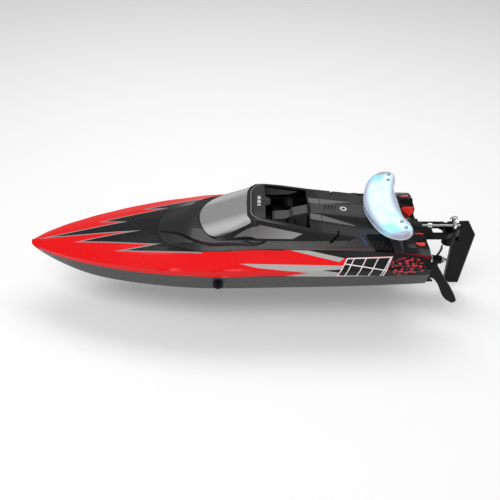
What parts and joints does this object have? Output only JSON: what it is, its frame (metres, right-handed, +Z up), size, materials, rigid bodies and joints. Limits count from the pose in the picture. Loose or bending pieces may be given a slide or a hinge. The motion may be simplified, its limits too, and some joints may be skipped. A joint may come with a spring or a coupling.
{
  "type": "rc boat",
  "caption": "Remote-control speedboat with a V hull, lift-off cockpit cover, lit rear wing, hinged rudder with steering link, and a shaft-driven propeller.",
  "frame": {"origin": "underside of the flat keel pad, on the centreline, about midway between the bow and the rudder", "axes": "+X aft, +Y to starboard, +Z up"},
  "size_m": [0.4299, 0.1205, 0.1037],
  "materials": {
    "hull_grey": "moulded dark grey, satin gloss",
    "deck_red": "gloss red with dark flashes",
    "cover_black": "gloss dark grey",
    "trim_grey": "mid grey",
    "pad_grey": "light grey",
    "black_plastic": "satin black",
    "smoke_glass": "tinted clear plastic",
    "clear_plastic": "clear moulding",
    "frost_plastic": "frosted white",
    "lens_red": "red lens",
    "lamp": "lit cyan lamps",
    "board_white": "white circuit board",
    "soft_rubber": "soft black",
    "steel": "steel",
    "chrome_metal": "bright plated",
    "alloy": "turned aluminium",
    "brass": "brass",
    "battery_wrap": "blue shrink wrap",
    "strap": "woven strap"
  },
  "bodies": {
    "boat": {"hull_lower": "hull_grey", "deck_upper": "deck_red", "hatch_seal": "soft_rubber", "motor_can": "steel", "cooling_jacket": "alloy", "motor_mount": "alloy", "stern_tube": "brass", "shaft_bushes": "brass", "shaft_strut": "alloy", "battery_tray": "black_plastic", "battery": "battery_wrap", "battery_strap": "strap", "speed_control": "black_plastic", "receiver_box": "black_plastic", "servo": "black_plastic", "servo_screws": "steel", "rod_boot": "soft_rubber", "rudder_bracket": "black_plastic", "bracket_screws": "chrome_metal", "rudder_pin": "steel", "pin_ring": "steel", "turn_fin": "black_plastic", "fin_screws": "chrome_metal", "trim_tabs": "black_plastic", "water_outlet": "black_plastic", "tail_pods": "black_plastic", "tail_lenses": "lens_red"},
    "drivetrain": {"motor_rotor": "steel", "shaft_coupler": "alloy", "drive_shaft": "steel", "drive_dog": "alloy", "propeller": "black_plastic", "prop_nut": "alloy"},
    "rudder": {"rudder_blade": "black_plastic", "steering_arm": "black_plastic"},
    "servo_arm": {"servo_horn": "black_plastic"},
    "steering_link": {"pushrod": "steel", "rod_stops": "chrome_metal"},
    "hatch": {"hatch_cover": "cover_black", "windscreen": "smoke_glass", "side_windows": "smoke_glass", "roof_panel": "trim_grey", "side_vents": "black_plastic", "cockpit_tub": "black_plastic", "dashboard": "black_plastic", "steering_wheel": "black_plastic", "seats": "black_plastic", "centre_console": "trim_grey", "rear_pads": "pad_grey", "spine_cover": "trim_grey", "wing_cover": "clear_plastic", "wing_base": "frost_plastic", "light_board": "board_white", "lamps": "lamp", "wing_screws": "steel"},
    "inner_lid": {"inner_lid": "black_plastic"}
  },
  "joints": [
    {"name": "propeller_spin", "type": "hinge", "parent": "boat", "child": "drivetrain", "pos_m": [0.1887, 0, 0.0065], "axis": [0.9945, 0, -0.1045], "continuous": true},
    {"name": "rudder_swing", "type": "hinge", "parent": "boat", "child": "rudder", "pos_m": [0.193, 0, 0.04], "axis": [0, 0, 1], "range_deg": [-30, 30]},
    {"name": "servo_turn", "type": "hinge", "parent": "boat", "child": "servo_arm", "pos_m": [0.112, 0, 0.05], "axis": [0, 0, 1], "range_deg": [-30, 30]},
    {"name": "link_pivot", "type": "hinge", "parent": "servo_arm", "child": "steering_link", "pos_m": [0.112, -0.006, 0.0548], "axis": [0, 0, 1], "range_deg": [-30, 30]},
    {"name": "hatch_lift", "type": "slide", "parent": "boat", "child": "hatch", "axis": [0, 0, 1], "range_m": [0, 0.1]},
    {"name": "inner_lid_lift", "type": "slide", "parent": "boat", "child": "inner_lid", "axis": [0, 0, 1], "range_m": [0, 0.05]}
  ],
  "couplings": [
    {"joint": "servo_turn", "follows": "rudder_swing", "ratio": 1},
    {"joint": "link_pivot", "follows": "rudder_swing", "ratio": -1},
    {"joint": "inner_lid_lift", "follows": "hatch_lift", "ratio": 0.5}
  ]
}
